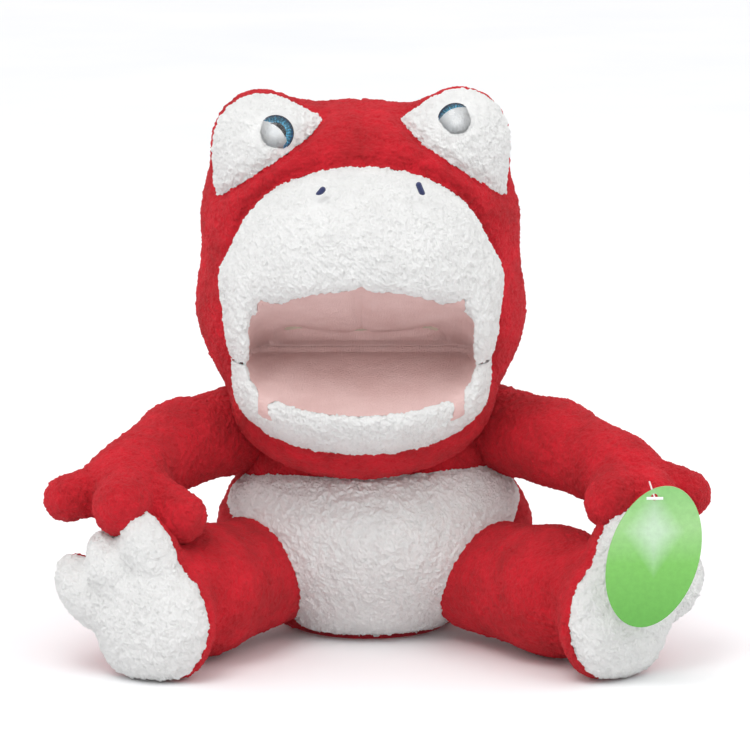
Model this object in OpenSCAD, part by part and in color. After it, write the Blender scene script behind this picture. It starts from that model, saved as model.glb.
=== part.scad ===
// Seated plush hand puppet with a frog-like head. The hand enters through a hem in the seat,
// passes up the body and the neck, and works an upper and a lower mouth board.
// Millimetres, +Z up, face towards -Y. The origin is the centre of the hand opening, at the seat.

/* [Fabric] */
// Thickness of the plush skin
skin_t = 2.5; // [2:0.1:3]
// Free gap between separate layers
layer_gap = 0.3; // [0.25:0.05:0.4]
// Thickness of the lining cloth
lining_t = 1.5; // [1:0.1:1.8]

/* [Hand opening] */
// Inner radius of the hand opening
opening_r = 33; // [31:0.5:33.5]
// Height of the hem at the seat
hem_h = 8; // [6:1:9]
// Inner radius of the sleeve at the neck
neck_bore_r = 27; // [25:0.5:27.5]

/* [Mouth] */
// Rise of the upper palate towards the lip, in degrees
palate_rise = 31; // [28:1:32]
// Fall of the lower palate towards the lip, in degrees
palate_fall = 22; // [20:1:24]
// Thickness of each mouth board
board_t = 1.5; // [1:0.1:1.6]

/* [Eyes] */
// Diameter of each safety eye
eye_d = 16; // [14:0.5:16.5]
// Height of the clear dome over its flange
dome_h = 5.5; // [5:0.25:6]

/* [Tag] */
// Height of the oval card
tag_h = 63; // [56:1:66]
// Width of the oval card
tag_w = 38.5; // [34:0.5:42]
// Thickness of the card
tag_t = 0.6; // [0.5:0.1:0.8]

/* [Hidden] */

ball_fn = 20;
round_fn = 48;
far = 400;

red = [0.78, 0.03, 0.07];
white = [0.94, 0.93, 0.91];
pink = [0.93, 0.72, 0.70];
filling = [0.9, 0.9, 0.88];

// Each ball is [centre, radius]; a hull of balls is one soft form
function pair(x, y, z, r) = [[[x, y, z], r], [[-x, y, z], r]];

// Body and neck
torso_top = 80;
torso_balls = concat(pair(30, -8, 34, 42), pair(32, -4, 68, 24), [[[0, -22, 44], 34], [[0, 8, 40], 40]]);
seat_r = 44;
seat_h = 6;
sleeve_r = 34;
sleeve_bend_z = 58;
neck_centre = [0, 0, 92];
neck_r = 34;
neck_low = torso_top + layer_gap;
neck_high = 106;
socket_gap = 0.5;

// Head, with the jaw hinge along X through mouth_hinge
head_low = 90;
mouth_hinge = [0, -42, 135];
skull_balls = concat(
    pair(22, -12, 150, 50), pair(36, -10, 204, 29), pair(44, -20, 222, 24),
    pair(30, -42, 106, 22), [[[0, 0, 102], 38]]
);
face_balls = concat(pair(22, -12, 150, 50), pair(36, -70, 188, 27), pair(34, -82, 170, 14), pair(30, -10, 180, 30));
muzzle_seam_y = -56;
throat_angle = 87;
jaw_back_angle = 75;
chin_seam_angle = 55;
jaw_balls = concat(pair(34, -54, 116, 19), pair(22, -74, 112, 18), pair(20, -62, 100, 20));
palate_t = 2;
palate_start = 3;
lining_top = 160;
thumb_way = [34, 40, 23];
thumb_way_low = 112;
finger_way = [66, 62, 23];
nostril_at = [-86, 209];
nostril_r = 1.3;
nostril_half = [2.2, 4];
finger_pocket_size = [78, 46, 24];
thumb_pocket_size = [32, 36, 18];

// Eyes: centre of each flange, left then right, and the way they face
eye_at = [[-40.5, -42.4, 230], [38.7, -39.5, 235]];
eye_turn = [-8, 8];
eye_lift = 6;
patch_r = 21;
flange_t = 1;
iris_t = 0.8;
pupil_t = 0.3;
washer_back = 4.3;
washer_t = 1.5;
shank_r = 2.5;
shank_end = 9;

// Limbs, left then right
shoulder = [[-60, 0, 86], [60, 0, 86]];
elbow = [[-85, -36, 88], [85, -36, 87]];
hand = [[-106, -72, 81], [114, -70, 82]];
fingers = [
    [[[-131, -82, 76], 10], [[-107, -97, 79], 12.5], [[-82, -93, 75], 11]],
    [[[140, -82, 78], 10], [[124, -94, 79], 11], [[106, -93, 78], 12]]
];
shoulder_r = 15;
arm_r = 16;
arm_axis_turn = [-36, 36];
arm_lift = 20;
hip = [[-50, -34, 30], [50, -34, 30]];
knee = [[-74, -75, 30], [82, -74, 30]];
hip_r = 22;
knee_r = 27;
sole_at = [[-99, -117, 29], [116, -115, 32]];
sole_turn = [-33, 42];
sole_roll = [37, -40];
sole_tip = 8;
sole_r = 24;
sole_half = 11;
leg_spread = 15;
limb_gap = 0.6;

// Tag
tag_pivot = [121.7, -134, 85.6];
tag_drop = 26;
tag_roll = 16;
tag_step = 6;
tag_hole_r = 1.5;
pin_r = 0.4;
pin_back = 40;
pin_front = 3;
bar_len = 7;

// ---------- shared shapes ----------

module blob(balls, grow = 0) {
    hull() for (b = balls) translate(b[0]) sphere(r = b[1] + grow, $fn = ball_fn);
}

module head_blob(grow = 0) {
    union() {
        blob(skull_balls, grow);
        blob(face_balls, grow);
    }
}

// Slab of space between two heights
module layer(low, high) {
    translate([-far, -far, low]) cube([2 * far, 2 * far, high - low]);
}

// Wedge of space round the jaw hinge; angles run down from straight ahead
module wedge(from, to, shift = 0) {
    function rim(a) = [-far * cos(a), -far * sin(a)];
    translate(mouth_hinge + [0, shift, 0]) rotate([90, 0, 90])
        linear_extrude(2 * far, center = true) polygon([[0, 0], rim(from), rim((from + to) / 2), rim(to)]);
}

module upper_frame() {
    translate(mouth_hinge) rotate([-palate_rise, 0, 0]) children();
}

module lower_frame() {
    translate(mouth_hinge) rotate([palate_fall, 0, 0]) children();
}

module eye_frame(side) {
    translate(eye_at[side]) rotate([0, 0, eye_turn[side]]) rotate([90 - eye_lift, 0, 0]) children();
}

// Box centred on X, reaching from depth_from to depth_to ahead of the hinge
module ahead_box(width, depth_from, depth_to, low, high) {
    translate([-width / 2, -depth_to, low]) cube([width, depth_to - depth_from, high - low]);
}

// ---------- body ----------

module sleeve_space(grow = 0) {
    rotate_extrude($fn = round_fn) polygon([
        [0, -1], [sleeve_r + grow, -1], [sleeve_r + grow, sleeve_bend_z],
        [neck_bore_r + grow, torso_top], [neck_bore_r + grow, torso_top + 1], [0, torso_top + 1]
    ]);
}

module limb_room(grow) {
    for (side = [0, 1]) {
        for (lift = [0, arm_lift / 2, arm_lift]) arm_turned(side, lift) hull() {
            translate(shoulder[side]) sphere(r = shoulder_r + grow, $fn = ball_fn);
            translate(elbow[side]) sphere(r = arm_r + grow, $fn = ball_fn);
        }
        for (spread = [0, leg_spread]) leg_turned(side, spread) hull() {
            translate(hip[side]) sphere(r = hip_r + grow, $fn = ball_fn);
            translate(knee[side]) sphere(r = knee_r + grow, $fn = ball_fn);
        }
    }
}

// Turned about the shoulder's level axis, lifting the hand
module arm_turned(side, lift) {
    translate(shoulder[side]) rotate([0, 0, arm_axis_turn[side]]) rotate([-lift, 0, 0])
        rotate([0, 0, -arm_axis_turn[side]]) translate(-shoulder[side]) children();
}

// Turned about the hip's upright axis, spreading the legs
module leg_turned(side, spread) {
    translate(hip[side]) rotate([0, 0, side == 0 ? -spread : spread]) translate(-hip[side]) children();
}

module torso_form(grow) {
    intersection() {
        hull() {
            blob(torso_balls, grow);
            translate([0, 0, -grow]) cylinder(r = seat_r + grow, h = seat_h, $fn = ball_fn);
        }
        layer(-grow, torso_top + grow);
    }
}

// Front of the body, inside the belly panel's seam
module belly_front() {
    rotate([90, 0, 0]) linear_extrude(far)
        polygon([[-54, 66], [-30, 75], [30, 75], [54, 68], [40, 30], [28, 13], [-28, 13], [-36, 28]]);
}

module torso_shell() {
    difference() {
        torso_form(0);
        torso_form(-skin_t);
        sleeve_space(skin_t + layer_gap);
        limb_room(limb_gap);
    }
}

module torso_skin() {
    color(red) difference() {
        torso_shell();
        belly_front();
        translate([0, 0, -1]) cylinder(r = opening_r + skin_t + 2 * layer_gap, h = hem_h + 2, $fn = round_fn);
    }
}

module belly_panel() {
    color(white) intersection() {
        torso_shell();
        belly_front();
    }
}

module torso_stuffing() {
    color(filling) difference() {
        torso_form(-skin_t - layer_gap);
        sleeve_space(lining_t + 2 * layer_gap);
        limb_room(limb_gap + layer_gap);
        translate([0, 0, -1]) cylinder(r = opening_r + skin_t + 2 * layer_gap, h = hem_h + 2, $fn = round_fn);
    }
}

module sleeve_lining() {
    low = hem_h + layer_gap;
    color(white) rotate_extrude($fn = round_fn) polygon([
        [sleeve_r, low], [sleeve_r + lining_t, low], [sleeve_r + lining_t, sleeve_bend_z],
        [neck_bore_r + lining_t, torso_top], [neck_bore_r, torso_top], [sleeve_r, sleeve_bend_z]
    ]);
}

module opening_hem() {
    color(red) difference() {
        cylinder(r = opening_r + skin_t + layer_gap, h = hem_h, $fn = round_fn);
        translate([0, 0, -1]) cylinder(r = opening_r, h = hem_h + 2, $fn = round_fn);
    }
}

module care_label() {
    label = [20, 30, 0.8];
    color(white) difference() {
        translate([26, 26, 14]) cube([label[2], label[1], label[0]]);
        torso_form(0);
    }
}

// ---------- neck ----------

module neck_zone(r_out, r_in, low, high) {
    difference() {
        intersection() {
            translate(neck_centre) sphere(r = r_out, $fn = round_fn);
            layer(low, high);
        }
        cylinder(r = r_in, h = far, $fn = round_fn);
    }
}

module neck_skin() {
    color(red) neck_zone(neck_r, neck_bore_r + lining_t + layer_gap, neck_low, neck_high);
}

module neck_lining() {
    color(white) translate([0, 0, neck_low]) difference() {
        cylinder(r = neck_bore_r + lining_t, h = neck_high - neck_low, $fn = round_fn);
        translate([0, 0, -1]) cylinder(r = neck_bore_r, h = far, $fn = round_fn);
    }
}

// ---------- head ----------

module mouth_space() {
    wedge(-palate_rise, throat_angle);
}

module neck_socket() {
    translate(neck_centre) sphere(r = neck_r + socket_gap, $fn = round_fn);
}

module hand_space(grow) {
    cylinder(r = neck_bore_r + grow, h = lining_top + grow, $fn = round_fn);
}

module thumb_passage(grow) {
    translate([-thumb_way[0] / 2 - grow, -thumb_way[1] - 15, thumb_way_low - grow])
        cube([thumb_way[0] + 2 * grow, thumb_way[1], thumb_way[2] + 2 * grow]);
}

module finger_passage(grow) {
    low = palate_t + board_t + 2 * layer_gap;
    upper_frame() ahead_box(finger_way[0] + 2 * grow, -finger_way[1] / 2, 6, low - grow, low + finger_way[2] + grow);
}

module head_form(grow) {
    difference() {
        intersection() {
            head_blob(grow);
            layer(head_low - grow, far);
        }
        mouth_space();
        if (grow < 0) wedge(0, throat_angle, -grow);
    }
}

module patch_space(side) {
    eye_frame(side) translate([0, 0, -20]) cylinder(r = patch_r, h = 60, $fn = round_fn);
}

// Room for the eye's flange, stem and washer
module eye_seat(side) {
    eye_frame(side) {
        translate([0, 0, -flange_t - layer_gap]) cylinder(d = eye_d + 2 * layer_gap, h = 40, $fn = round_fn);
        translate([0, 0, -shank_end - 1]) cylinder(r = shank_r + layer_gap, h = 20, $fn = round_fn);
        translate([0, 0, -shank_end - 1]) cylinder(d = eye_d, h = shank_end + 1.2 - washer_back, $fn = round_fn);
    }
}

module head_shell() {
    difference() {
        head_form(0);
        head_form(-skin_t);
        neck_socket();
        hand_space(0);
        thumb_passage(0);
        for (side = [0, 1]) eye_seat(side);
    }
}

module muzzle_front() {
    translate([-far / 2, -far + muzzle_seam_y, 0]) cube([far, far, 218]);
}

module head_skin() {
    color(red) difference() {
        head_shell();
        muzzle_front();
        for (side = [0, 1]) patch_space(side);
    }
}

module muzzle_panel() {
    color(white) intersection() {
        head_shell();
        muzzle_front();
    }
}

module eye_patch(side) {
    color(white) difference() {
        intersection() {
            head_shell();
            patch_space(side);
        }
        muzzle_front();
    }
}

module head_stuffing() {
    color(filling) difference() {
        head_form(-skin_t - layer_gap);
        neck_socket();
        hand_space(lining_t + layer_gap);
        thumb_passage(layer_gap);
        finger_passage(layer_gap);
        upper_frame() {
            ahead_box(2 * far, 0, far, -1, palate_t + board_t + 2 * layer_gap);
            ahead_box(
                finger_pocket_size[0] + 2 * layer_gap, 0, finger_pocket_size[1] + layer_gap, 0,
                palate_t + board_t + 3 * layer_gap + finger_pocket_size[2]
            );
        }
        for (side = [0, 1]) eye_frame(side) translate([0, 0, -shank_end - 2])
            cylinder(d = eye_d + 1, h = 40, $fn = round_fn);
    }
}

module head_lining() {
    low = 114;
    color(white) difference() {
        translate([0, 0, low]) cylinder(r = neck_bore_r + lining_t, h = lining_top + lining_t - low, $fn = round_fn);
        hand_space(0);
        thumb_passage(layer_gap);
        finger_passage(layer_gap);
    }
}

// Fabric that fills the head's outline over a slab of the upper frame
module palate_upper() {
    color(pink) intersection() {
        head_blob(-skin_t - layer_gap / 3);
        upper_frame() ahead_box(2 * far, palate_start, far, 0, palate_t);
    }
}

module mouth_outline(inset) {
    hull() {
        for (x = [-1, 1]) {
            translate([x * 34, -12]) circle(r = 8 - inset, $fn = ball_fn);
            translate([x * 20, -32]) circle(r = 18 - inset, $fn = ball_fn);
        }
    }
}

module mouth_board_upper() {
    color(filling) upper_frame() translate([0, 0, palate_t + layer_gap / 3])
        linear_extrude(board_t) mouth_outline(0);
}

module pocket(size, low, depth_from) {
    ends = depth_from + size[1];
    difference() {
        ahead_box(size[0], depth_from, ends, low, low + size[2]);
        ahead_box(size[0] - 2 * lining_t, depth_from - 1, ends - lining_t, low + lining_t, low + size[2] - lining_t);
    }
}

module finger_pocket() {
    color(white) upper_frame() pocket(
        [finger_pocket_size[0], finger_pocket_size[1] - 7, finger_pocket_size[2]],
        palate_t + board_t + 2 * layer_gap, 7
    );
}

module nostril(x, turn, half) {
    translate([x, nostril_at[0], nostril_at[1]]) rotate([0, turn, 0]) hull() for (z = [-half, half])
        translate([0, 0, z]) sphere(r = nostril_r, $fn = 16);
}

module nostril_stitches() {
    color([0.05, 0.06, 0.2]) difference() {
        union() {
            nostril(-20.7, 40, nostril_half[0]);
            nostril(23.5, -22, nostril_half[1]);
        }
        head_blob();
    }
}

module eye_dome(side) {
    dome_r = eye_d / 2;
    curve_r = (dome_r * dome_r + dome_h * dome_h) / (2 * dome_h);
    color([0.8, 0.9, 1, 0.4]) eye_frame(side) difference() {
        intersection() {
            translate([0, 0, dome_h - curve_r]) sphere(r = curve_r, $fn = round_fn);
            translate([0, 0, iris_t]) cylinder(r = dome_r, h = dome_h, $fn = round_fn);
        }
        cylinder(r = 0.3 * eye_d + 0.05, h = iris_t + pupil_t, $fn = round_fn);
    }
}

module eye_iris(side) {
    color([0.1, 0.45, 0.85]) eye_frame(side) cylinder(d = eye_d - 0.6, h = iris_t, $fn = round_fn);
}

module eye_pupil(side) {
    color("black") eye_frame(side) translate([0, 0, iris_t])
        cylinder(r = 0.3 * eye_d, h = pupil_t, $fn = round_fn);
}

module eye_shank(side) {
    color("black") eye_frame(side) {
        translate([0, 0, -flange_t]) cylinder(d = eye_d, h = flange_t, $fn = round_fn);
        translate([0, 0, -shank_end]) cylinder(r = shank_r, h = shank_end - flange_t / 2, $fn = round_fn);
    }
}

module eye_washer(side) {
    color(filling) eye_frame(side) translate([0, 0, -washer_back - washer_t]) difference() {
        cylinder(d = eye_d - 1.5, h = washer_t, $fn = round_fn);
        translate([0, 0, -1]) cylinder(r = shank_r, h = washer_t + 2, $fn = round_fn);
    }
}

// ---------- jaw ----------

module jaw_form(grow) {
    intersection() {
        blob(jaw_balls, grow);
        wedge(palate_fall, jaw_back_angle, grow);
    }
}

module thumb_space(grow) {
    low = palate_t + board_t + 2 * layer_gap;
    lower_frame() ahead_box(
        thumb_pocket_size[0] + 2 * grow, -10, 5 + thumb_pocket_size[1] + grow,
        -low - thumb_pocket_size[2] - grow, -low + grow
    );
}

module jaw_shell() {
    difference() {
        jaw_form(0);
        difference() {
            jaw_form(-skin_t);
            lower_frame() ahead_box(2 * far, -far, far, -palate_t - layer_gap / 3, far);
        }
        lower_frame() ahead_box(2 * far, -far, far, -palate_t - layer_gap / 3, far);
        thumb_space(0);
    }
}

module jaw_panel() {
    color(white) intersection() {
        jaw_shell();
        wedge(0, chin_seam_angle);
    }
}

module chin_skin() {
    color(red) difference() {
        jaw_shell();
        wedge(0, chin_seam_angle);
    }
}

module palate_lower() {
    color(pink) intersection() {
        blob(jaw_balls);
        lower_frame() ahead_box(2 * far, palate_start, far, -palate_t, 0);
    }
}

module mouth_board_lower() {
    color(filling) lower_frame() translate([0, -1, -palate_t - board_t - layer_gap / 3])
        linear_extrude(board_t) mouth_outline(3.5);
}

module thumb_pocket() {
    low = palate_t + board_t + 2 * layer_gap;
    color(white) intersection() {
        lower_frame() pocket(thumb_pocket_size, -low - thumb_pocket_size[2], 5);
        wedge(0, jaw_back_angle);
        blob(jaw_balls, -layer_gap);
    }
}

module jaw_stuffing() {
    low = palate_t + board_t + 2 * layer_gap;
    color(filling) difference() {
        jaw_form(-skin_t - layer_gap);
        lower_frame() ahead_box(2 * far, -far, far, -low, far);
        thumb_space(layer_gap);
    }
}

// ---------- arms ----------

module arm_form(side, grow) {
    union() {
        hull() {
            translate(shoulder[side]) sphere(r = shoulder_r + grow, $fn = ball_fn);
            translate(elbow[side]) sphere(r = arm_r + grow, $fn = ball_fn);
        }
        hull() {
            translate(elbow[side]) sphere(r = arm_r + grow, $fn = ball_fn);
            translate(hand[side]) sphere(r = arm_r + grow, $fn = ball_fn);
        }
        for (tip = fingers[side]) hull() {
            translate(tip[0]) sphere(r = tip[1] + grow, $fn = ball_fn);
            translate(0.4 * tip[0] + 0.6 * hand[side]) sphere(r = tip[1] + 1 + grow, $fn = ball_fn);
        }
    }
}

// Open at the root, where the arm is filled and sewn shut
module arm_skin(side) {
    color(red) difference() {
        arm_form(side, 0);
        arm_form(side, -skin_t);
        translate(shoulder[side]) rotate([0, side == 0 ? -90 : 90, 0]) rotate([180, 0, 0])
            cylinder(r = shoulder_r / 2, h = 2 * shoulder_r, $fn = ball_fn);
    }
}

module arm_stuffing(side) {
    color(filling) arm_form(side, -skin_t - layer_gap);
}

// ---------- legs ----------

module sole_frame(side) {
    translate(sole_at[side]) rotate([0, 0, sole_turn[side]]) rotate([90 - sole_tip, 0, 0])
        rotate([0, 0, sole_roll[side]]) children();
}

module sole_outline(grow) {
    hull() for (y = [-1, 1]) translate([0, y * sole_half]) circle(r = sole_r + grow, $fn = ball_fn);
}

module foot_slab(side, grow, from, to) {
    sole_frame(side) translate([0, 0, from]) linear_extrude(to - from) sole_outline(grow);
}

module leg_form(side, grow) {
    intersection() {
        union() {
            hull() {
                translate(hip[side]) sphere(r = hip_r + grow, $fn = ball_fn);
                translate(knee[side]) sphere(r = knee_r + grow, $fn = ball_fn);
            }
            hull() {
                translate(knee[side]) sphere(r = knee_r + grow, $fn = ball_fn);
                foot_slab(side, grow, -10, -skin_t - layer_gap + grow);
            }
        }
        layer(-grow, far);
    }
}

module leg_skin(side) {
    color(red) difference() {
        leg_form(side, 0);
        leg_form(side, -skin_t);
    }
}

module sole_panel(side) {
    color(white) intersection() {
        foot_slab(side, 0, -skin_t, 0);
        layer(0, far);
    }
}

module leg_stuffing(side) {
    color(filling) leg_form(side, -skin_t - layer_gap);
}

// ---------- tag ----------

module swing_tag() {
    color([0.45, 0.75, 0.3]) difference() {
        translate(tag_pivot + [0, tag_t / 2, -tag_drop]) rotate([90, 0, 0]) rotate([0, 0, -tag_roll])
            linear_extrude(tag_t) polygon([for (a = [0:tag_step:359]) [tag_w / 2 * cos(a), tag_h / 2 * sin(a)]]);
        translate(tag_pivot) rotate([90, 0, 0]) cylinder(r = tag_hole_r, h = 10, center = true, $fn = round_fn);
    }
}

module tag_fastener() {
    color([0.95, 0.95, 0.95]) {
        difference() {
            translate(tag_pivot + [0, pin_back, 0]) rotate([90, 0, 0])
                cylinder(r = pin_r, h = pin_back + pin_front, $fn = round_fn);
            arm_form(1, 0);
        }
        translate(tag_pivot + [0, -pin_front, 0]) rotate([0, 90, 0])
            cylinder(r = pin_r + 0.2, h = bar_len, center = true, $fn = round_fn);
    }
}

torso_skin();
belly_panel();
torso_stuffing();
sleeve_lining();
opening_hem();
care_label();
neck_skin();
neck_lining();
head_skin();
muzzle_panel();
eye_patch(0);  // eye_patch_left
eye_patch(1);  // eye_patch_right
head_stuffing();
head_lining();
palate_upper();
mouth_board_upper();
finger_pocket();
nostril_stitches();
eye_dome(0);  // eye_dome_left
eye_dome(1);  // eye_dome_right
eye_iris(0);  // eye_iris_left
eye_iris(1);  // eye_iris_right
eye_pupil(0);  // eye_pupil_left
eye_pupil(1);  // eye_pupil_right
eye_shank(0);  // eye_shank_left
eye_shank(1);  // eye_shank_right
eye_washer(0);  // eye_washer_left
eye_washer(1);  // eye_washer_right
jaw_panel();
chin_skin();
palate_lower();
mouth_board_lower();
thumb_pocket();
jaw_stuffing();
arm_skin(0);  // arm_skin_left
arm_skin(1);  // arm_skin_right
arm_stuffing(0);  // arm_stuffing_left
arm_stuffing(1);  // arm_stuffing_right
leg_skin(0);  // leg_skin_left
leg_skin(1);  // leg_skin_right
sole_panel(0);  // sole_panel_left
sole_panel(1);  // sole_panel_right
leg_stuffing(0);  // leg_stuffing_left
leg_stuffing(1);  // leg_stuffing_right
swing_tag();
tag_fastener();
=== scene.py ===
"""Seated plush hand puppet with a frog-like head: red pile, white face, belly and soles, pink mouth.

Soft forms are signed distance fields in millimetres, in the CAD frame. Each is meshed, puffed up as
cloth (all but the neck), split into its sewn panels along the seams, and given tufts of pile.
"""
import math

import bpy
import numpy as np
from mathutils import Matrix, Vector


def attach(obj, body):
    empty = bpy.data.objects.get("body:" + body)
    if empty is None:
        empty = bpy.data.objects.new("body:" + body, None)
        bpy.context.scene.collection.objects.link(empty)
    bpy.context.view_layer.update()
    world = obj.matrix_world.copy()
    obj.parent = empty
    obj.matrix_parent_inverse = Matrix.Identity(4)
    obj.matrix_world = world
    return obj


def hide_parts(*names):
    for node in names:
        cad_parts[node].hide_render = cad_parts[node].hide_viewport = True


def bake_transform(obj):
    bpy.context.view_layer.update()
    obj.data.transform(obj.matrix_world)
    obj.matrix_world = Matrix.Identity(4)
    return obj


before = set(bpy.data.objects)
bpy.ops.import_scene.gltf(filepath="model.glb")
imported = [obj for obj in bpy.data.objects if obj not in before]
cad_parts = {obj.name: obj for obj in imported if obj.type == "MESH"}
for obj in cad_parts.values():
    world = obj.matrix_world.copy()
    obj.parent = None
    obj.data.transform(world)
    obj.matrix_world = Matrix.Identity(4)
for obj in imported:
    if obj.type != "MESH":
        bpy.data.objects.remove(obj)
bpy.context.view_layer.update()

MM = 0.001

# ---------------------------------------------------------------- camera

CAMERA_RISE = math.radians(10)
CAMERA_AIM = Vector((3.2, 0, 114.5)) * MM
FRAME_WIDTH = 341 * MM
LENS = 200
SENSOR = 36


def add_camera():
    """A long lens in front of the puppet, a little above it."""
    distance = FRAME_WIDTH / SENSOR * LENS
    data = bpy.data.cameras.new("camera")
    data.lens = LENS
    data.sensor_width = SENSOR
    data.clip_end = 20
    camera = bpy.data.objects.new("camera", data)
    back = Vector((0, -math.cos(CAMERA_RISE), math.sin(CAMERA_RISE)))
    camera.location = CAMERA_AIM + distance * back
    camera.rotation_euler = (math.pi / 2 - CAMERA_RISE, 0, 0)
    bpy.context.collection.objects.link(camera)
    bpy.context.scene.camera = camera


add_camera()

# ---------------------------------------------------------------- distance fields, millimetres


def vec(*xyz):
    return np.array(xyz, float)


def ball(centre, radius):
    return lambda p: np.linalg.norm(p - vec(*centre), axis=-1) - radius


def egg(centre, radii):
    """Ellipsoid: a close estimate of the distance."""
    c, r = vec(*centre), vec(*radii)

    def field(p):
        q = (p - c) / r
        near = np.linalg.norm(q, axis=-1)
        steep = np.maximum(np.linalg.norm(q / r, axis=-1), 1e-9)
        return near * (near - 1) / steep

    return field


def cone(a, b, ra, rb):
    """Capsule from a to b whose radius runs from ra to rb."""
    a, b = vec(*a), vec(*b)
    along = b - a

    def field(p):
        t = np.clip((p - a) @ along / (along @ along), 0, 1)
        return np.linalg.norm(p - a - t[..., None] * along, axis=-1) - (ra + (rb - ra) * t)

    return field


def soft_min(a, b, k):
    h = np.maximum(k - np.abs(a - b), 0) / k
    return np.minimum(a, b) - h * h * k / 4


def soft_max(a, b, k):
    return -soft_min(-a, -b, k)


def melt(k, *fields):
    """Fields joined with a fillet of about k."""

    def field(p):
        d = fields[0](p)
        for f in fields[1:]:
            d = soft_min(d, f(p), k)
        return d

    return field


def carve(body, hole, k=3):
    return lambda p: soft_max(body(p), -hole(p), k)


def gradient(field, p, h=0.4):
    g = np.empty_like(p)
    for axis in range(3):
        step = np.zeros(3)
        step[axis] = h
        g[:, axis] = (field(p + step) - field(p - step)) / (2 * h)
    return g


# ---------------------------------------------------------------- meshing

BODY_GRID = 2.2
LIMB_GRID = 2.0
ON_THE_LINE = 0.15
PANEL_THICKNESS = 1.4


def surface_net(field, low, high, step):
    """Vertices and triangles of a field's zero surface in a box."""
    axes = [np.arange(a, b + step, step) for a, b in zip(low, high)]
    grid = np.stack(np.meshgrid(*axes, indexing="ij"), -1)
    value = field(grid)
    inside = value < 0
    cells = np.array(value.shape) - 1
    count = np.zeros(cells)
    total = np.zeros((*cells, 3))
    crossings = []
    for axis in range(3):
        ahead = np.roll(value, -1, axis)
        cross = inside != (ahead < 0)
        last = [slice(None)] * 3
        last[axis] = -1
        cross[tuple(last)] = False
        share = np.where(cross, value / np.where(cross, value - ahead, 1), 0)
        crossings.append(cross)
        others = [a for a in range(3) if a != axis]
        for i in (0, 1):
            for j in (0, 1):
                pick = [slice(0, n) for n in cells]
                pick[others[0]] = slice(i, cells[others[0]] + i)
                pick[others[1]] = slice(j, cells[others[1]] + j)
                hit = cross[tuple(pick)]
                count += hit
                total[..., axis] += share[tuple(pick)]
                total[..., others[0]] += hit * i
                total[..., others[1]] += hit * j
    used = count > 0
    number = np.full(cells, -1)
    number[used] = np.arange(used.sum())
    points = (np.argwhere(used) + total[used] / count[used][:, None]) * step + vec(*low)
    triangles = []
    for axis in range(3):
        one, two = (axis + 1) % 3, (axis + 2) % 3
        at = np.argwhere(crossings[axis])
        at = at[(at[:, one] > 0) & (at[:, two] > 0) & (at[:, one] < cells[one]) & (at[:, two] < cells[two])]

        def cell(d_one, d_two):
            c = at.copy()
            c[:, one] += d_one
            c[:, two] += d_two
            return number[c[:, 0], c[:, 1], c[:, 2]]

        quad = np.stack([cell(-1, -1), cell(0, -1), cell(0, 0), cell(-1, 0)], 1)
        out = inside[at[:, 0], at[:, 1], at[:, 2]]
        quad = np.where(out[:, None], quad, quad[:, ::-1])
        triangles += [quad[:, [0, 1, 2]], quad[:, [0, 2, 3]]]
    triangles = np.concatenate(triangles)
    for _ in range(3):
        slope = gradient(field, points)
        points = points - field(points)[:, None] * slope / np.maximum((slope**2).sum(1), 0.1)[:, None]
    return points, triangles


def normals(points, triangles):
    a, b, c = (points[triangles[:, i]] for i in range(3))
    face = np.cross(b - a, c - a)
    total = np.zeros_like(points)
    for i in range(3):
        np.add.at(total, triangles[:, i], face)
    return total / np.maximum(np.linalg.norm(total, axis=1), 1e-12)[:, None]


def clip(points, triangles, value):
    """Keep the part where value is above zero, cut cleanly along the zero line."""
    value = np.where(np.abs(value) < ON_THE_LINE, 0.0, value)
    kept = value >= 0
    whole = kept[triangles].sum(1)
    out = [triangles[whole == 3]]
    new_points = [points]
    found = {}
    start = len(points)
    extra = []

    def midpoint(i, j):
        key = (min(i, j), max(i, j))
        if key not in found:
            t = value[i] / (value[i] - value[j])
            found[key] = start + len(extra)
            extra.append(points[i] + t * (points[j] - points[i]))
        return found[key]

    made = []
    for tri in triangles[(whole == 1) | (whole == 2)]:
        loop = []
        for i in range(3):
            a, b = int(tri[i]), int(tri[(i + 1) % 3])
            if kept[a]:
                loop.append(a)
            if kept[a] != kept[b] and value[a] != 0 and value[b] != 0:
                loop.append(midpoint(a, b))
        for i in range(1, len(loop) - 1):
            made.append((loop[0], loop[i], loop[i + 1]))
    if extra:
        new_points.append(np.array(extra))
    if made:
        out.append(np.array(made))
    points, triangles = np.concatenate(new_points), np.concatenate(out)
    used = np.unique(triangles)
    renumber = np.full(len(points), -1)
    renumber[used] = np.arange(len(used))
    return points[used], renumber[triangles]


def shell(points, triangles, thickness):
    """A thin closed sheet: the surface, its inner copy and the walls along its open edges."""
    n = normals(points, triangles)
    count = len(points)
    edges = np.concatenate([triangles[:, [0, 1]], triangles[:, [1, 2]], triangles[:, [2, 0]]])
    code = edges[:, 0].astype(np.int64) * count + edges[:, 1]
    back = edges[:, 1].astype(np.int64) * count + edges[:, 0]
    rim = edges[~np.isin(code, back)]
    walls = np.concatenate(
        [
            np.stack([rim[:, 1], rim[:, 0], rim[:, 0] + count], 1),
            np.stack([rim[:, 1], rim[:, 0] + count, rim[:, 1] + count], 1),
        ]
    )
    every = np.concatenate([triangles, triangles[:, ::-1] + count, walls])
    outer = np.concatenate([np.ones(count), np.zeros(count)])
    return np.concatenate([points, points - thickness * n]), every, outer


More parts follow.
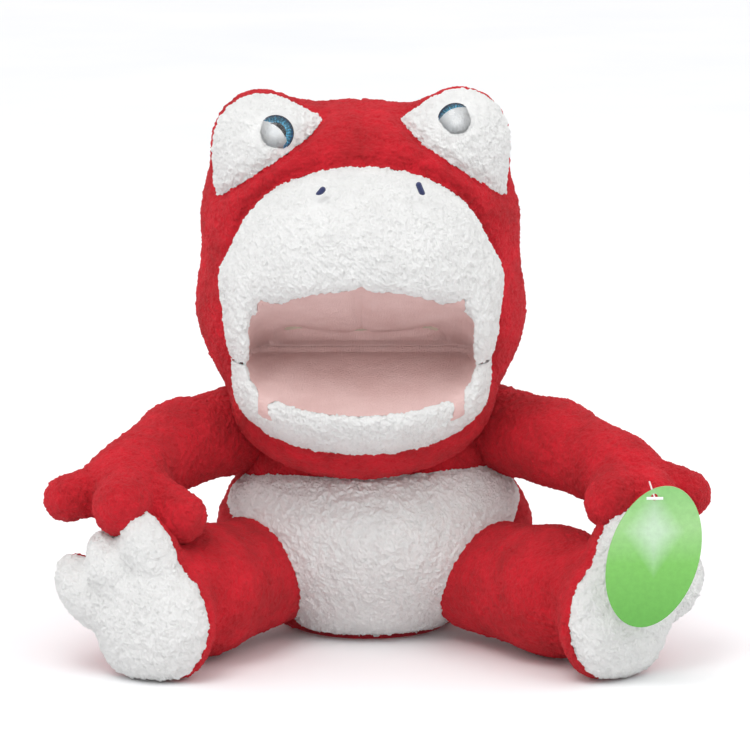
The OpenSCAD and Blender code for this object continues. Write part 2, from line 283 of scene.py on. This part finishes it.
def make_object(name, points, triangles):
    mesh = bpy.data.meshes.new(name)
    mesh.vertices.add(len(points))
    mesh.vertices.foreach_set("co", (points * MM).astype(np.float32).ravel())
    mesh.loops.add(3 * len(triangles))
    mesh.loops.foreach_set("vertex_index", triangles.astype(np.int32).ravel())
    mesh.polygons.add(len(triangles))
    mesh.polygons.foreach_set("loop_start", np.arange(0, 3 * len(triangles), 3, dtype=np.int32))
    mesh.update(calc_edges=True)
    mesh.validate()
    mesh.polygons.foreach_set("use_smooth", np.ones(len(mesh.polygons), bool))
    obj = bpy.data.objects.new(name, mesh)
    bpy.context.collection.objects.link(obj)
    return obj


# ---------------------------------------------------------------- materials


def node_tree(name):
    material = bpy.data.materials.new(name)
    material.use_nodes = True
    tree = material.node_tree
    return material, tree, tree.nodes["Principled BSDF"]


def noise(tree, scale, detail=3, rough=0.55, stretch=None):
    """Noise in the piece's own coordinates, scale in bumps per metre."""
    where = tree.nodes.new("ShaderNodeTexCoord")
    texture = tree.nodes.new("ShaderNodeTexNoise")
    texture.inputs["Scale"].default_value = scale
    texture.inputs["Detail"].default_value = detail
    texture.inputs["Roughness"].default_value = rough
    if stretch:
        mapping = tree.nodes.new("ShaderNodeMapping")
        mapping.inputs["Scale"].default_value = stretch
        tree.links.new(where.outputs["Object"], mapping.inputs["Vector"])
        tree.links.new(mapping.outputs["Vector"], texture.inputs["Vector"])
    else:
        tree.links.new(where.outputs["Object"], texture.inputs["Vector"])
    return texture.outputs["Fac"]


def ramp(tree, factor, *stops):
    node = tree.nodes.new("ShaderNodeValToRGB")
    elements = node.color_ramp.elements
    while len(elements) < len(stops):
        elements.new(0.5)
    for element, (place, colour) in zip(elements, stops):
        element.position = place
        element.color = (*colour, 1)
    tree.links.new(factor, node.inputs["Fac"])
    return node.outputs["Color"]


def bump(tree, shader, height, strength, distance):
    node = tree.nodes.new("ShaderNodeBump")
    node.inputs["Strength"].default_value = strength
    node.inputs["Distance"].default_value = distance
    tree.links.new(height, node.inputs["Height"])
    tree.links.new(node.outputs["Normal"], shader.inputs["Normal"])


def plush_backing(name, dark, light, sheen_tint):
    """Plush, coloured as its pile looks from afar."""
    material, tree, shader = node_tree(name)
    # Light and dark patches: partly the plush's tone varying at random, partly painted sheen of the nap
    # lying different ways.
    mottle_and_nap_sheen = noise(tree, 60, 4, 0.65)
    tree.links.new(ramp(tree, mottle_and_nap_sheen, (0.3, dark), (0.7, light)), shader.inputs["Base Color"])
    shader.inputs["Roughness"].default_value = 0.9
    shader.inputs["Sheen Weight"].default_value = 0.15
    shader.inputs["Sheen Roughness"].default_value = 0.5
    shader.inputs["Sheen Tint"].default_value = (*sheen_tint, 1)
    bump(tree, shader, noise(tree, 1400, 4, 0.75, (1, 1, 0.45)), 0.9, 0.0016)
    return material


def woven(name, dark, light, threads=900):
    material, tree, shader = node_tree(name)
    tree.links.new(ramp(tree, noise(tree, 120, 3), (0.3, dark), (0.7, light)), shader.inputs["Base Color"])
    shader.inputs["Roughness"].default_value = 0.85
    shader.inputs["Sheen Weight"].default_value = 0.3
    bump(tree, shader, noise(tree, threads, 2, 0.5, (1, 1, 3)), 0.5, 0.0006)
    return material


def plastic(name, dark, light, roughness=0.3):
    material, tree, shader = node_tree(name)
    tree.links.new(ramp(tree, noise(tree, 80, 2), (0.2, dark), (0.8, light)), shader.inputs["Base Color"])
    shader.inputs["Roughness"].default_value = roughness
    bump(tree, shader, noise(tree, 500, 2), 0.05, 0.0002)
    return material


RED_CLOTH = plush_backing("red_plush", (0.46, 0.001, 0.008), (0.74, 0.004, 0.02), (1, 0.2, 0.2))
WHITE_CLOTH = plush_backing("white_plush", (0.88, 0.88, 0.87), (0.96, 0.96, 0.95), (1, 1, 1))
PINK_CLOTH = plush_backing("pink_fleece", (0.80, 0.52, 0.49), (0.90, 0.63, 0.60), (1, 0.9, 0.9))
LINING = woven("lining_cloth", (0.70, 0.68, 0.64), (0.82, 0.80, 0.76))
# The hem is coloured a darker red than the plush: painted shade for the hem sitting in shadow under the
# belly.
SHADED_HEM_CLOTH = woven("hem_cloth", (0.30, 0.002, 0.01), (0.46, 0.006, 0.02))

# ---------------------------------------------------------------- pile


def cloud(name, size, depth):
    texture = bpy.data.textures.new(name, "CLOUDS")
    texture.noise_scale = size
    texture.noise_depth = depth
    return texture


# Tufts of pile, coarse and fine, with the height of each in metres
TUFTS = {
    "red": ((cloud("red_tufts", 3.0 * MM, 2), 1.7 * MM), (cloud("red_tips", 1.0 * MM, 1), 0.9 * MM)),
    "white": ((cloud("white_tufts", 3.2 * MM, 2), 2.1 * MM), (cloud("white_tips", 1.1 * MM, 1), 1.3 * MM)),
    "pink": ((cloud("pink_tufts", 4.0 * MM, 1), 0.3 * MM), (cloud("pink_tips", 0.9 * MM, 1), 0.2 * MM)),
}
CLOTHS = {"red": RED_CLOTH, "white": WHITE_CLOTH, "pink": PINK_CLOTH}


def grow_pile(obj, kind, outer):
    """Raise the pile's tufts on the outer side of a panel."""
    obj.data.materials.append(CLOTHS[kind])
    group = obj.vertex_groups.new(name="pile")
    group.add([int(index) for index in np.flatnonzero(outer)], 1.0, "REPLACE")
    fine = obj.modifiers.new("fine", "SUBSURF")
    fine.subdivision_type = "SIMPLE"
    fine.levels = fine.render_levels = 2
    for number, (texture, height) in enumerate(TUFTS[kind]):
        raised = obj.modifiers.new(f"tufts_{number}", "DISPLACE")
        raised.texture = texture
        raised.texture_coords = "LOCAL"
        raised.strength = height
        raised.mid_level = 0.5
        raised.vertex_group = "pile"


# ---------------------------------------------------------------- cloth

BODY_PRESSURE, BODY_CAP = 9000.0, 4
LIMB_PRESSURE, ARM_CAP, LEG_CAP = 7000.0, 2, 3
SEAM_GRIP = 3
CLOTH_FRAMES = 20


def held(distance):
    """How firmly the cloth is pinned, 1 on a seam and fading out beside it."""
    return np.exp(-((distance / SEAM_GRIP) ** 2))


def puff(points, triangles, pinned, pressure, cap, stiffness=8.0):
    """Blow the closed cover up as cloth held along its seams; no point moves further than cap."""
    obj = make_object("puffing", points, triangles)
    group = obj.vertex_groups.new(name="seams")
    for index in np.flatnonzero(pinned > 0.01):
        group.add([int(index)], float(pinned[index]), "REPLACE")
    modifier = obj.modifiers.new("cloth", "CLOTH")
    cloth = modifier.settings
    cloth.quality = 5
    cloth.mass = 0.3
    cloth.tension_stiffness = stiffness
    cloth.compression_stiffness = stiffness
    cloth.shear_stiffness = stiffness / 2
    cloth.bending_stiffness = 0.3
    cloth.use_pressure = True
    cloth.uniform_pressure_force = pressure
    cloth.vertex_group_mass = "seams"
    cloth.effector_weights.gravity = 0
    modifier.collision_settings.use_collision = False
    scene = bpy.context.scene
    for number in range(1, CLOTH_FRAMES + 1):
        scene.frame_set(number)
    graph = bpy.context.evaluated_depsgraph_get()
    done = obj.evaluated_get(graph)
    flat = np.empty(len(done.data.vertices) * 3, np.float32)
    done.data.vertices.foreach_get("co", flat)
    moved = flat.reshape(-1, 3).astype(float) / MM - points
    scene.frame_set(1)
    bpy.data.objects.remove(obj)
    far = np.linalg.norm(moved, axis=1)
    moved *= np.minimum(1, cap / np.maximum(far, 1e-9))[:, None]
    return points + moved


def press_seams(points, triangles, distances, depth=1.5, width=2.0):
    """Pull the surface in along each seam, where the distance to it is small."""
    inward = np.zeros(len(points))
    for distance in distances:
        inward = np.maximum(inward, np.exp(-((distance / width) ** 2)))
    return points - normals(points, triangles) * (depth * inward)[:, None]


def panel(name, points, triangles, value, kind, bare=None):
    """One sewn panel: the part where value is above zero, as a thin sheet with pile where not bare."""
    if value is not None:
        points, triangles = clip(points, triangles, value)
    points, triangles, outer = shell(points, triangles, PANEL_THICKNESS)
    if bare is not None:
        outer = outer * ~bare(points)
    obj = make_object(name, points, triangles)
    grow_pile(obj, kind, outer)
    return obj


# ---------------------------------------------------------------- the head and jaw

HEAD_X = -2.8
HINGE_Y, HINGE_Z = -42, 135
RISE, FALL = math.radians(31), math.radians(22)
MOUTH_HALF = 49
HAND_WAY_R, HAND_WAY_TOP = 29.5, 158


def ahead(p):
    return -(p[..., 1] - HINGE_Y)


def over(p):
    return p[..., 2] - HINGE_Z


def roof(p):
    """Distance above the upper palate's plane."""
    return over(p) * math.cos(RISE) - ahead(p) * math.sin(RISE)


def floor_under(p):
    """Distance below the lower palate's plane."""
    return -(over(p) * math.cos(FALL) + ahead(p) * math.sin(FALL))


def mouth_gap(p):
    gap = soft_max(roof(p), floor_under(p), 3)
    return soft_max(gap, np.abs(p[..., 0] - HEAD_X) - MOUTH_HALF, 8)


def hand_way(p):
    """The space for the hand, up through the neck."""
    return np.maximum(np.hypot(p[..., 0], p[..., 1]) - HAND_WAY_R, p[..., 2] - HAND_WAY_TOP)


MUZZLE = melt(
    12,
    egg((HEAD_X, -58, 184), (54, 42, 32)),
    egg((HEAD_X, -56, 169), (62, 43, 26)),
    egg((HEAD_X - 49, -56, 150), (12, 26, 24)),
    egg((HEAD_X + 49, -56, 150), (12, 26, 24)),
)
JAW = melt(
    10,
    egg((HEAD_X, -60, 115), (54, 39, 25)),
    egg((HEAD_X - 46, -54, 128), (12, 24, 18)),
    egg((HEAD_X + 46, -54, 128), (12, 24, 18)),
)
THROAT = egg((HEAD_X, -36, 108), (57, 41, 30))
BROW_X, BROW_Z = 44, 224
LIP_INSET = 3.5

skull = melt(
    16,
    egg((HEAD_X, -9, 148), (72, 52, 56)),
    egg((HEAD_X, -11, 192), (70, 46, 46)),
    ball((HEAD_X - BROW_X, -22, BROW_Z), 22),
    ball((HEAD_X + BROW_X, -22, BROW_Z + 2), 22),
)
whole_face = melt(5, melt(14, skull, THROAT), MUZZLE, JAW)

# Centre of each eye and the way it faces
EYES = [((-40.5, -42.4, 230), (-0.138, -0.985, 0.1045)), ((38.7, -39.5, 235), (0.138, -0.985, 0.1045))]
EYE_R = 8.2
SEAT_DEPTH = 0.9
NOSTRILS = [((-22.2, -86, 207), (-19.2, -86, 211)), ((25, -86, 205), (22, -86, 213))]


def eye_reach(p, number, low):
    """Distance outside the round seat of an eye, which reaches forward from depth low."""
    centre, facing = (vec(*v) for v in EYES[number])
    depth = (p - centre) @ facing
    radial = np.linalg.norm(p - centre - depth[..., None] * facing, axis=-1)
    return np.maximum(radial - EYE_R, low - depth)


def eye_seats(p):
    return np.minimum(eye_reach(p, 0, -SEAT_DEPTH), eye_reach(p, 1, -SEAT_DEPTH))


def bare_head(p):
    """No pile under the eyes, at the nostril stitches or inside the head."""
    bare = (np.minimum(eye_reach(p, 0, -4), eye_reach(p, 1, -4)) < 1.2) | (hand_way(p) < 2.5)
    for start, end in NOSTRILS:
        bare |= cone(start, end, 2.2, 2.2)(p) < 2.5
    return bare


face = carve(carve(carve(whole_face, mouth_gap, 4), hand_way, 2), eye_seats, 1)


def outline_distance(points, x, z):
    """Distance inside a convex outline in the X-Z plane, drawn clockwise; its corners are rounded."""
    inside = None
    for (ax, az), (bx, bz) in zip(points, points[1:] + points[:1]):
        length = math.hypot(bx - ax, bz - az)
        side = ((bz - az) * (x - ax) - (bx - ax) * (z - az)) / length
        inside = side if inside is None else soft_min(inside, side, 5)
    return inside


PATCH_OUTLINE = [(66, 199), (21, 229), (14, 240), (18, 248), (44, 262), (84, 256), (84, 203)]


def eye_patch_distance(p, side):
    x = (p[..., 0] - HEAD_X) * side
    inside = outline_distance(PATCH_OUTLINE, x, p[..., 2])
    return soft_min(inside, -(p[..., 1] + 23), 6)


# Each panel's pile, and the CAD nodes that it stands for
HEAD_PANELS = {
    "head_plush": ("red", ("head_skin", "head_stuffing", "chin_skin", "jaw_stuffing")),
    "muzzle_plush": ("white", ("muzzle_panel",)),
    "jaw_plush": ("white", ("jaw_panel",)),
    "eye_patch_plush_left": ("white", ("eye_patch_left",)),
    "eye_patch_plush_right": ("white", ("eye_patch_right",)),
    "palate_upper_fleece": ("pink", ("palate_upper",)),
    "palate_lower_fleece": ("pink", ("palate_lower",)),
}
JAW_PANELS = ("head_plush", "jaw_plush", "palate_lower_fleece")
CROWN_Z, LIP_SEAM_TOP = 216, 188
NO_SEAM = 99.0


def fold_height(p):
    """Height above the fold where the upper and lower face meet."""
    return over(p) + 0.1 * ahead(p)


def fleece_in(p):
    """Above zero on the mouth's fleece lining."""
    deep = soft_min(-whole_face(p) - LIP_INSET, ahead(p) + 12, 2)
    roomy = np.min([45 - np.abs(p[:, 0] - HEAD_X), 42 - ahead(p), 9 - mouth_gap(p)], axis=0)
    return np.maximum(np.minimum(deep, 3 - mouth_gap(p)), roomy)


def build_head():
    points, triangles = surface_net(face, (-85, -112, 66), (80, 54, 256), BODY_GRID)
    fold = fold_height(points)
    muzzle_in = np.minimum(-(MUZZLE(points) - 1.5), fold)
    jaw_in = np.minimum(-(JAW(points) - 1.0), -fold)
    patches = [eye_patch_distance(points, side) for side in (-1, 1)]
    middle = np.abs(points[:, 0] - HEAD_X)
    crown = np.where(points[:, 2] > CROWN_Z, middle, NO_SEAM)
    lip_seam = np.where((points[:, 2] < LIP_SEAM_TOP) & (muzzle_in > 0), middle, NO_SEAM)
    seams = [muzzle_in, jaw_in, *patches]
    nearest = np.min(np.abs(seams), axis=0)
    inner = np.maximum(-mouth_gap(points), -hand_way(points)) > -4
    pinned = np.maximum(held(nearest), inner)
    points = puff(points, triangles, pinned, BODY_PRESSURE, BODY_CAP)
    points = press_seams(points, triangles, seams, 1.6, 2.0)
    points = press_seams(points, triangles, [crown], 0.8, 1.6)
    points = press_seams(points, triangles, [lip_seam], 1.4, 3.0)
    fold = fold_height(points)
    fleece = fleece_in(points)
    muzzle_in, jaw_in = np.minimum(muzzle_in, -fleece), np.minimum(jaw_in, -fleece)
    white = np.max([muzzle_in, jaw_in, *patches, fleece], axis=0)
    areas = [-white, muzzle_in, jaw_in, *patches, np.minimum(fleece, fold), np.minimum(fleece, -fold)]
    made = {}
    for area, (name, (kind, _)) in zip(areas, HEAD_PANELS.items()):
        bare = None if kind == "pink" else bare_head
        made[name] = panel(name, points, triangles, area, kind, bare=bare)
    for name, obj in made.items():
        if name in JAW_PANELS:
            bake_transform(obj)
        else:
            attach(obj, "head")
        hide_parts(*HEAD_PANELS[name][1])


# ---------------------------------------------------------------- the body

BELLY_OUTLINE = [
    (-70, 66), (-46, 76), (50, 79), (76, 73), (62, 40), (46, 10), (36, 1), (-30, 1), (-40, 12), (-56, 40)
]
SEAT_WAY_R, SEAT_WAY_TOP = 35.2, 84
SIDE_SEAM_Y = 6


def seat_way(p):
    """The space for the wrist, up through the body."""
    return np.maximum(np.hypot(p[..., 0], p[..., 1]) - SEAT_WAY_R, p[..., 2] - SEAT_WAY_TOP)


torso_body = melt(
    16,
    egg((3, -8, 48), (70, 52, 44)),
    egg((1, 0, 84), (52, 36, 24)),
    cone((0, 0, 8), (0, 0, 30), 42, 46),
)
torso = carve(lambda p: soft_max(torso_body(p), -p[..., 2] + 0.5, 6), seat_way, 2)


def build_torso():
    points, triangles = surface_net(torso, (-76, -66, -3), (80, 58, 116), BODY_GRID)
    belly_in = outline_distance(BELLY_OUTLINE, points[:, 0], points[:, 2])
    belly_in = soft_min(belly_in, -(points[:, 1] + 6), 6)
    side_seam = np.abs(points[:, 1] - SIDE_SEAM_Y)
    pinned = np.maximum(held(belly_in), seat_way(points) < 3)
    pinned = np.maximum(pinned, points[:, 2] < 4)
    points = puff(points, triangles, pinned, BODY_PRESSURE, BODY_CAP)
    points = press_seams(points, triangles, [belly_in, side_seam], 1.6, 2.0)
    red = panel("torso_plush", points, triangles, -belly_in, "red", bare=lambda p: seat_way(p) < 2.5)
    white = panel("belly_plush", points, triangles, belly_in, "white")
    for obj in (red, white):
        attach(obj, "torso")
    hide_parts("torso_skin", "torso_stuffing")
    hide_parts("belly_panel")


def build_neck():
    roll = carve(egg((0, 3, 93), (45, 44, 20)), hand_way, 3)
    points, triangles = surface_net(roll, (-49, -45, 70), (49, 51, 117), LIMB_GRID)
    obj = panel("neck_plush", points, triangles, None, "red")
    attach(obj, "neck")
    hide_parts("neck_skin")


# ---------------------------------------------------------------- limbs

ARMS = {
    "left": {
        "shoulder": (-56, 0, 90), "elbow": (-84, -36, 90), "hand": (-106, -72, 80),
        "fingers": [((-131, -82, 74), 10), ((-106, -97, 74), 13), ((-81, -92, 68), 11)],
    },
    "right": {
        "shoulder": (56, 0, 90), "elbow": (84, -36, 90), "hand": (112, -68, 82),
        "fingers": [((140, -80, 76), 10), ((126, -94, 74), 11), ((106, -92, 75), 12)],
    },
}
LEGS = {
    "left": {
        "hip": (-50, -32, 31), "knee": (-76, -74, 31), "sole": (-101, -112, 32), "turn": -24, "roll": -38,
    },
    "right": {
        "hip": (52, -32, 31), "knee": (86, -72, 31), "sole": (117, -108, 33), "turn": 38, "roll": 40,
    },
}


def build_arm(side):
    spec = ARMS[side]
    hand = vec(*spec["hand"])
    limb = melt(
        8, cone(spec["shoulder"], spec["elbow"], 20, 17.5), cone(spec["elbow"], hand, 17.5, 17)
    )
    digits = [cone(hand * 0.7 + vec(*tip) * 0.3, tip, r, r) for tip, r in spec["fingers"]]
    field = melt(6, limb, melt(1.5, *digits))
    corners = np.array([spec["shoulder"], hand] + [tip for tip, _ in spec["fingers"]])
    points, triangles = surface_net(field, corners.min(0) - 26, corners.max(0) + 26, LIMB_GRID)
    points = puff(points, triangles, np.zeros(len(points)), LIMB_PRESSURE, ARM_CAP)
    obj = panel(f"arm_plush_{side}", points, triangles, None, "red")
    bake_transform(obj)
    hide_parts(f"arm_skin_{side}", f"arm_stuffing_{side}")


def foot_axes(spec):
    """Toe way, across and outward directions of the sole."""
    turn, roll = math.radians(spec["turn"]), math.radians(spec["roll"])
    out = vec(math.sin(turn), -math.cos(turn), 0.14)
    out /= np.linalg.norm(out)
    up = vec(0, 0, 1) - out * out[2]
    up /= np.linalg.norm(up)
    side = np.cross(up, out)
    toe = up * math.cos(roll) + side * math.sin(roll)
    across = np.cross(toe, out)
    return toe, across, out


def build_leg(side):
    spec = LEGS[side]
    sole = vec(*spec["sole"])
    toe, across, out = foot_axes(spec)
    flat = np.stack([toe, across, out], 1)

    def foot(p):
        q = (p - sole) @ flat
        body = egg((-8, 0, -10), (29, 28, 16))(q)
        for place, width in ((-18, 11), (0, 12), (18, 11)):
            body = soft_min(body, egg((19, place, -8), (20, width, 13))(q), 2)
        return body

    limb = melt(10, cone(spec["hip"], spec["knee"], 25, 26), cone(spec["knee"], sole - 18 * out, 26, 22))

    def field(p):
        return soft_max(soft_min(limb(p), foot(p), 5), -p[..., 2] + 0.4, 4)

    corners = np.array([spec["hip"], spec["sole"]])
    points, triangles = surface_net(field, corners.min(0) - 46, corners.max(0) + 46, LIMB_GRID)
    local = (points - sole) @ flat
    sole_in = local[:, 2] + 9
    points = puff(points, triangles, held(sole_in), LIMB_PRESSURE, LEG_CAP)
    points = press_seams(points, triangles, [sole_in], 1.4, 2.0)
    red = panel(f"leg_plush_{side}", points, triangles, -sole_in, "red")
    white = panel(f"sole_plush_{side}", points, triangles, sole_in, "white")
    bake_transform(red)
    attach(white, f"leg_{side}")
    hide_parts(f"leg_skin_{side}", f"leg_stuffing_{side}")
    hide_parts(f"sole_panel_{side}")


# ---------------------------------------------------------------- carried-over CAD nodes


def paint(node, material):
    obj = bpy.data.objects[node]
    obj.data.materials.clear()
    obj.data.materials.append(material)


def math_node(tree, operation, *values):
    node = tree.nodes.new("ShaderNodeMath")
    node.operation = operation
    for socket, value in zip(node.inputs, values):
        if isinstance(value, (int, float)):
            socket.default_value = value
        else:
            tree.links.new(value, socket)
    return node.outputs[0]


def blend_colours(tree, kind, factor, a, b):
    node = tree.nodes.new("ShaderNodeMix")
    node.data_type = "RGBA"
    node.blend_type = kind
    for socket, value in (("Factor", factor), ("A", a), ("B", b)):
        if isinstance(value, float):
            node.inputs[socket].default_value = value
        else:
            tree.links.new(value, node.inputs[socket])
    return node.outputs["Result"]


def within(tree):
    """Where a point is in the piece's box: 0 to 1 across, and 0 to 1 up."""
    where = tree.nodes.new("ShaderNodeTexCoord")
    split = tree.nodes.new("ShaderNodeSeparateXYZ")
    tree.links.new(where.outputs["Generated"], split.inputs[0])
    return split.outputs[0], split.outputs[2]


def glitter_iris():
    material, tree, shader = node_tree("eye_glitter")
    across, height = within(tree)
    off_x, off_z = math_node(tree, "SUBTRACT", across, 0.5), math_node(tree, "SUBTRACT", height, 0.5)
    radius = math_node(tree, "MULTIPLY", 2, math_node(tree, "SQRT", math_node(
        tree, "ADD", math_node(tree, "MULTIPLY", off_x, off_x), math_node(tree, "MULTIPLY", off_z, off_z)
    )))
    rings = ramp(
        tree, radius, (0.55, (0.02, 0.22, 0.42)), (0.66, (0.12, 0.62, 0.95)), (0.88, (0.14, 0.66, 1.0)),
        (0.99, (0.01, 0.14, 0.36)),
    )
    angle = math_node(tree, "ARCTAN2", off_z, off_x)
    lines = math_node(tree, "SINE", math_node(tree, "MULTIPLY", angle, 29))
    stripes = math_node(tree, "MULTIPLY_ADD", lines, 0.5, 0.5)
    streaks = ramp(tree, stripes, (0.0, (0.55,) * 3), (1.0, (1.0,) * 3))
    flakes = tree.nodes.new("ShaderNodeTexVoronoi")
    flakes.inputs["Scale"].default_value = 2600
    where = tree.nodes.new("ShaderNodeTexCoord")
    tree.links.new(where.outputs["Object"], flakes.inputs["Vector"])
    # Flakes of differing brightness. The brightest go above 1 as painted glints of the glitter.
    shine = ramp(tree, flakes.outputs["Color"], (0.35, (0.55,) * 3), (0.75, (1.6,) * 3))
    # Painted light and shade: the iris is lighter towards the bottom and darker towards the top.
    low = ramp(tree, height, (0.1, (1.25,) * 3), (0.9, (0.6,) * 3))
    colour = blend_colours(tree, "MULTIPLY", 1.0, rings, streaks)
    colour = blend_colours(tree, "MULTIPLY", 1.0, colour, shine)
    tree.links.new(blend_colours(tree, "MULTIPLY", 1.0, colour, low), shader.inputs["Base Color"])
    shader.inputs["Roughness"].default_value = 0.3
    shader.inputs["Metallic"].default_value = 0.2
    return material


def clear_dome():
    """Thin clear plastic: what is behind it, with gloss that grows towards the edge."""
    material, tree, shader = node_tree("eye_clear")
    tree.nodes.remove(shader)
    through = tree.nodes.new("ShaderNodeBsdfTransparent")
    tint = ramp(tree, noise(tree, 200), (0.3, (0.96, 0.98, 1.0)), (0.7, (1.0, 1.0, 1.0)))
    tree.links.new(tint, through.inputs["Color"])
    gloss = tree.nodes.new("ShaderNodeBsdfGlossy")
    gloss.inputs["Roughness"].default_value = 0.04
    edge = tree.nodes.new("ShaderNodeFresnel")
    edge.inputs["IOR"].default_value = 1.49
    mix = tree.nodes.new("ShaderNodeMixShader")
    tree.links.new(edge.outputs[0], mix.inputs["Fac"])
    tree.links.new(through.outputs[0], mix.inputs[1])
    tree.links.new(gloss.outputs[0], mix.inputs[2])
    tree.links.new(mix.outputs[0], tree.nodes["Material Output"].inputs["Surface"])
    return material


def tag_card():
    """Green card, paler towards the top, with a soft pale diamond of painted glare a little above the
    middle.
    """
    material, tree, shader = node_tree("tag_card")
    across, height = within(tree)
    off_x, off_z = math_node(tree, "SUBTRACT", across, 0.5), math_node(tree, "SUBTRACT", height, 0.5)
    green = ramp(
        tree, height, (0.0, (0.10, 0.36, 0.05)), (0.45, (0.17, 0.47, 0.09)), (0.72, (0.30, 0.56, 0.22)),
        (1.0, (0.22, 0.50, 0.16)),
    )
    # A pale diamond a little above the middle, soft at its edges: painted glare of light on the card.
    middle = math_node(tree, "ADD", math_node(tree, "ABSOLUTE", off_x), math_node(
        tree, "ABSOLUTE", math_node(tree, "SUBTRACT", off_z, 0.18)
    ))
    painted_glare = ramp(tree, middle, (0.08, (0.55,) * 3), (0.34, (0.0,) * 3))
    pale = tree.nodes.new("ShaderNodeRGB")
    pale.outputs[0].default_value = (0.62, 0.72, 0.66, 1)
    colour = blend_colours(tree, "MIX", painted_glare, green, pale.outputs[0])
    speckle = ramp(tree, noise(tree, 350, 4, 0.7), (0.3, (0.9,) * 3), (0.7, (1.06,) * 3))
    tree.links.new(blend_colours(tree, "MULTIPLY", 1.0, colour, speckle), shader.inputs["Base Color"])
    shader.inputs["Roughness"].default_value = 0.28
    return material


def paint_nodes():
    black = plastic("eye_black", (0.004, 0.004, 0.005), (0.012, 0.012, 0.014), 0.12)
    washer = plastic("washer_plastic", (0.75, 0.75, 0.73), (0.85, 0.85, 0.83), 0.4)
    nylon = plastic("tag_nylon", (0.78, 0.78, 0.78), (0.88, 0.88, 0.88), 0.25)
    board = woven("mouth_board", (0.45, 0.38, 0.28), (0.60, 0.52, 0.40), 300)
    label = woven("label_cloth", (0.84, 0.84, 0.83), (0.92, 0.92, 0.91), 1400)
    thread = woven("nostril_thread", (0.006, 0.01, 0.05), (0.02, 0.03, 0.12), 2500)
    for node in ("sleeve_lining", "neck_lining", "head_lining", "finger_pocket", "thumb_pocket"):
        paint(node, LINING)
    paint("opening_hem", SHADED_HEM_CLOTH)
    for node in ("mouth_board_upper", "mouth_board_lower"):
        paint(node, board)
    paint("care_label", label)
    iris, dome = glitter_iris(), clear_dome()
    for side in ("left", "right"):
        paint(f"eye_pupil_{side}", black)
        paint(f"eye_shank_{side}", black)
        paint(f"eye_washer_{side}", washer)
        paint(f"eye_iris_{side}", iris)
        paint(f"eye_dome_{side}", dome)
    paint("nostril_stitches", thread)
    paint("swing_tag", tag_card())
    paint("tag_fastener", nylon)


# ---------------------------------------------------------------- floor and light


def build_stage():
    bpy.ops.mesh.primitive_plane_add(size=8, location=(0, 0, 0))
    ground = bpy.context.object
    ground.name = "floor"
    material, tree, shader = node_tree("floor")
    tree.links.new(
        ramp(tree, noise(tree, 3, 3), (0.3, (0.86, 0.87, 0.89)), (0.7, (0.90, 0.90, 0.91))),
        shader.inputs["Base Color"],
    )
    shader.inputs["Roughness"].default_value = 0.8
    ground.data.materials.append(material)
    world = bpy.data.worlds.new("studio")
    bpy.context.scene.world = world
    world.use_nodes = True
    world.node_tree.nodes["Background"].inputs["Color"].default_value = (1, 1, 1, 1)
    world.node_tree.nodes["Background"].inputs["Strength"].default_value = 1.1
    for name, place, size, power in (
        ("key", (-0.35, -0.7, 1.4), 0.7, 7),
        ("fill", (0.8, -0.6, 1.0), 0.8, 2),
    ):
        data = bpy.data.lights.new(name, "AREA")
        data.energy = power
        data.size = size
        lamp = bpy.data.objects.new(name, data)
        lamp.location = place
        lamp.rotation_euler = (Vector((0, -0.03, 0.12)) - Vector(place)).to_track_quat("-Z", "Y").to_euler()
        bpy.context.collection.objects.link(lamp)
    bpy.context.scene.view_settings.view_transform = "Standard"


build_stage()
build_head()
build_torso()
build_neck()
for arm_side in ARMS:
    build_arm(arm_side)
for leg_side in LEGS:
    build_leg(leg_side)
paint_nodes()
